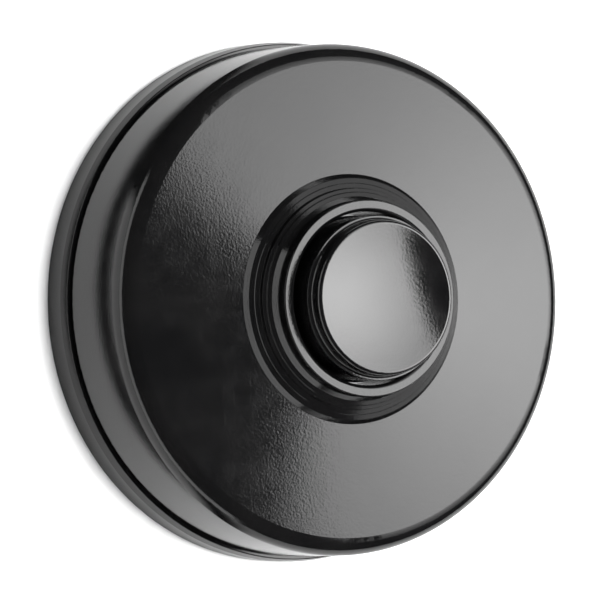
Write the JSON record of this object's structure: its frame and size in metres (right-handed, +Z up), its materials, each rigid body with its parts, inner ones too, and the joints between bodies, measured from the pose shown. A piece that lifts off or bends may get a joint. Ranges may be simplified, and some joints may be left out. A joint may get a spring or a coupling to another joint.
{
  "type": "push button",
  "caption": "Round surface-mounted push button: black moulded base and screw-on cover, stepped hub and a dished momentary button over a sprung contact.",
  "frame": {"origin": "centre of the back face that goes against the wall, midway between the two fixing slots", "axes": "+Z up on the wall, -Y out of the wall along the button's travel towards the user, +X to the right seen from the front"},
  "size_m": [0.065, 0.0267, 0.065],
  "materials": {
    "base_moulding": "polished black phenolic moulding",
    "cover_moulding": "polished black phenolic moulding with faint orange peel",
    "button_moulding": "polished black phenolic moulding",
    "gasket_rubber": "dull black rubber",
    "brass": "machined, slightly dulled",
    "screw_steel": "bright zinc plated",
    "plate_steel": "satin zinc plated",
    "spring_bronze": "cold rolled phosphor bronze",
    "silver": "silver contact alloy",
    "spring_steel": "drawn spring wire",
    "fibre": "vulcanised fibre",
    "plunger_moulding": "natural nylon"
  },
  "bodies": {
    "base": {"rear_base": "base_moulding", "cover_gasket": "gasket_rubber", "base_inserts": "brass", "left_terminal_block": "brass", "right_terminal_block": "brass", "terminal_screws": "screw_steel", "leaf_fixing_screw": "screw_steel", "contact_fixing_screw": "screw_steel", "leaf_clamp_plate": "screw_steel", "leaf_foot": "spring_bronze", "fixed_contact": "brass", "fixed_contact_tip": "silver"},
    "cover": {"front_cover": "cover_moulding", "cover_inserts": "brass", "guide_plate": "plate_steel", "guide_screws": "screw_steel", "spring_seat": "fibre"},
    "button": {"button": "button_moulding", "plunger": "plunger_moulding", "return_spring": "spring_steel"},
    "contact_leaf": {"contact_leaf": "spring_bronze", "moving_contact_tip": "silver"}
  },
  "joints": [
    {"name": "cover_lift", "type": "slide", "parent": "base", "child": "cover", "axis": [0, -1, 0], "range_m": [0, 0.03]},
    {"name": "button_press", "type": "slide", "parent": "cover", "child": "button", "axis": [0, 1, 0], "range_m": [0, 0.002], "stiffness_N_per_m": 600, "springref_m": -0.002, "deforming": ["return_spring"]},
    {"name": "leaf_flex", "type": "hinge", "parent": "base", "child": "contact_leaf", "pos_m": [-0.014, -0.0095, 0], "axis": [0, 0, 1], "range_deg": [0, 8.3]}
  ],
  "couplings": [
    {"joint": "leaf_flex", "follows": "button_press", "rad_per_m": 71.429}
  ]
}
